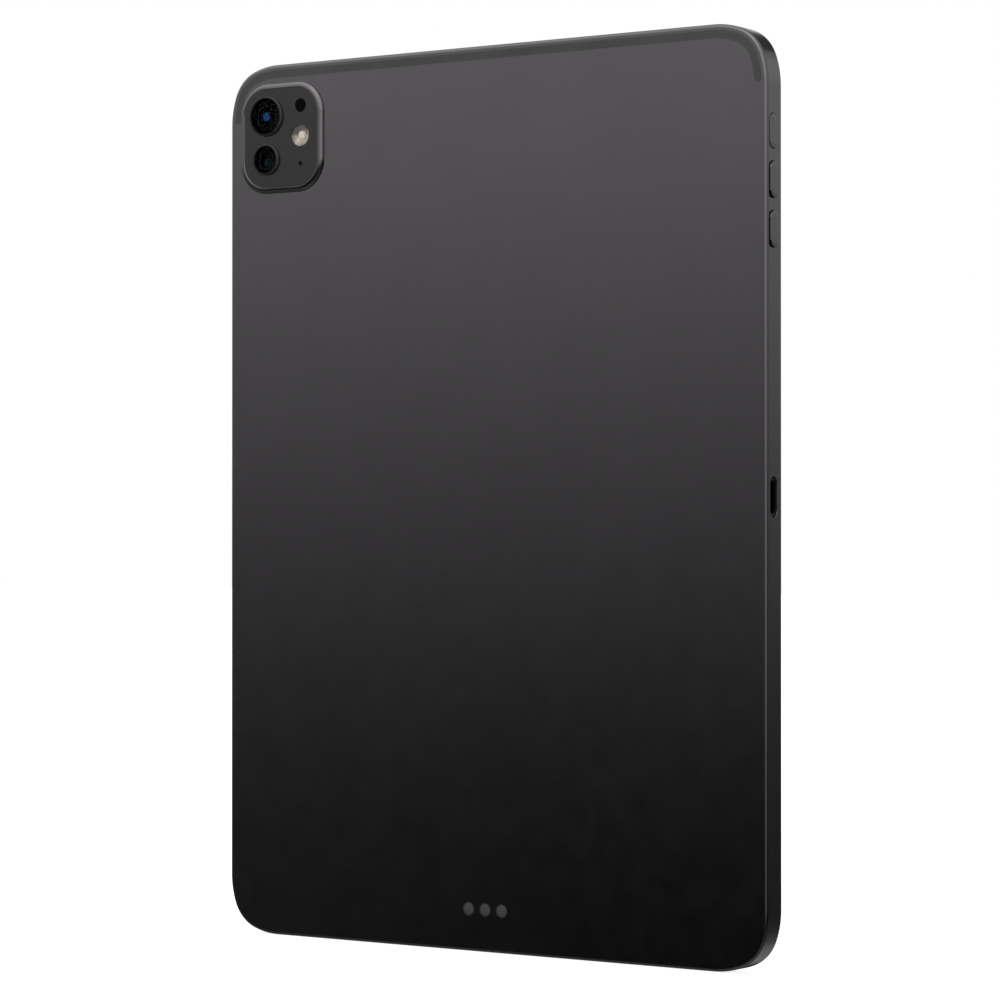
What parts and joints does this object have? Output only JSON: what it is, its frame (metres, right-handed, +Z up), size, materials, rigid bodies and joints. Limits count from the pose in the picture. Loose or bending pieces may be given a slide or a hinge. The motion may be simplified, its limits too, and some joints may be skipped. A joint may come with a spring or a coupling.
{
  "type": "tablet computer",
  "caption": "Slim flat-sided slab tablet, dark grey: raised rear camera island, side buttons, charging socket, rear contacts, full-face display.",
  "frame": {"origin": "middle of the bottom edge face, halfway through the thickness, with the tablet upright in portrait", "axes": "+Z up to the top edge, -Y out of the back with the camera island, +Y out of the display, +X to the edge with the buttons and the charging socket"},
  "size_m": [0.1791, 0.0092, 0.2486],
  "materials": {
    "anodised_shell": "fine bead-blasted, anodised dark grey",
    "antenna_plastic": "matte, flush inlay",
    "island_metal": "anodised with a bright cut edge",
    "island_plate": "satin dark grey",
    "lens_ring_metal": "black anodised",
    "lens_cover_glass": "coated, black rimmed",
    "lens_element_glass": "blue anti-reflection coating",
    "camera_black": "matte black",
    "camera_steel": "plain stamped",
    "sensor_board": "circuit board",
    "flash_window": "clear, faceted, slightly warm",
    "dark_window": "black tinted",
    "fine_mesh": "fine black mesh",
    "contact_metal": "plated, satin grey",
    "black_insulator": "moulded, black",
    "flex_polyimide": "flexible circuit",
    "inner_steel": "stamped",
    "button_metal": "anodised to match the shell",
    "port_steel": "drawn, nickel plated",
    "gold_contact": "gold plated",
    "display_glass": "clear, polished",
    "display_ink": "black printed border",
    "display_cell": "dark when off",
    "backlight": "white reflector stack",
    "gasket": "soft black",
    "battery_pouch": "black wrapped pouch",
    "white_adhesive": "stretch release tape",
    "graphite": "pressed graphite",
    "board": "circuit board with solder mask",
    "chip": "moulded package",
    "magnet": "nickel plated magnet",
    "speaker_shell": "moulded black",
    "speaker_film": "thin film and foam",
    "display_frame_metal": "stamped tray"
  },
  "bodies": {
    "chassis": {"accessory_contacts": "contact_metal", "accessory_flex": "flex_polyimide", "antenna_band": "antenna_plastic", "antenna_strips": "flex_polyimide", "backlight_unit": "backlight", "battery_adhesive": "white_adhesive", "battery_board": "board", "battery_cell_left": "battery_pouch", "battery_cell_right": "battery_pouch", "board_parts": "chip", "border_mask": "display_ink", "bottom_speakers": "speaker_shell", "button_bracket": "inner_steel", "camera_board": "sensor_board", "camera_bracket": "inner_steel", "camera_island": "island_metal", "camera_plate": "island_plate", "contact_insulator": "black_insulator", "cover_glass": "display_glass", "display_flex": "flex_polyimide", "display_frame": "display_frame_metal", "display_gasket": "gasket", "display_panel": "display_cell", "edge_magnets": "magnet", "flash_lens": "flash_window", "front_camera": "camera_black", "graphite_sheet": "graphite", "logic_board": "board", "port_bracket": "inner_steel", "port_contacts": "gold_contact", "port_shell": "port_steel", "port_surround": "black_insulator", "port_tongue": "black_insulator", "processor": "chip", "rear_housing": "anodised_shell", "rear_mic_mesh": "fine_mesh", "screws": "inner_steel", "second_camera_can": "camera_steel", "second_image_sensor": "sensor_board", "second_lens_barrel": "camera_black", "second_lens_element": "lens_element_glass", "second_lens_glass": "lens_cover_glass", "second_lens_ring": "lens_ring_metal", "sensor_window": "dark_window", "shield_cans": "inner_steel", "speaker_cones": "speaker_film", "speaker_meshes": "fine_mesh", "switch_flex": "flex_polyimide", "top_speakers": "speaker_shell", "wide_camera_can": "camera_steel", "wide_focus_coil": "camera_steel", "wide_image_sensor": "sensor_board", "wide_lens_glass": "lens_cover_glass", "wide_lens_ring": "lens_ring_metal"},
    "lock_button": {"lock_button": "button_metal"},
    "volume_up_button": {"volume_up_button": "button_metal"},
    "volume_down_button": {"volume_down_button": "button_metal"},
    "focus_barrel": {"wide_lens_barrel": "camera_black", "wide_lens_element": "lens_element_glass"}
  },
  "joints": [
    {"name": "lock_button_press", "type": "slide", "parent": "chassis", "child": "lock_button", "axis": [-1, 0, 0], "range_m": [0, 0.0003], "stiffness_N_per_m": 3000, "springref_m": -0.0004},
    {"name": "volume_up_button_press", "type": "slide", "parent": "chassis", "child": "volume_up_button", "axis": [-1, 0, 0], "range_m": [0, 0.0003], "stiffness_N_per_m": 3000, "springref_m": -0.0004},
    {"name": "volume_down_button_press", "type": "slide", "parent": "chassis", "child": "volume_down_button", "axis": [-1, 0, 0], "range_m": [0, 0.0003], "stiffness_N_per_m": 3000, "springref_m": -0.0004},
    {"name": "camera_focus", "type": "slide", "parent": "chassis", "child": "focus_barrel", "axis": [0, -1, 0], "range_m": [0, 0.0003], "stiffness_N_per_m": 200, "springref_m": -0.0002}
  ]
}
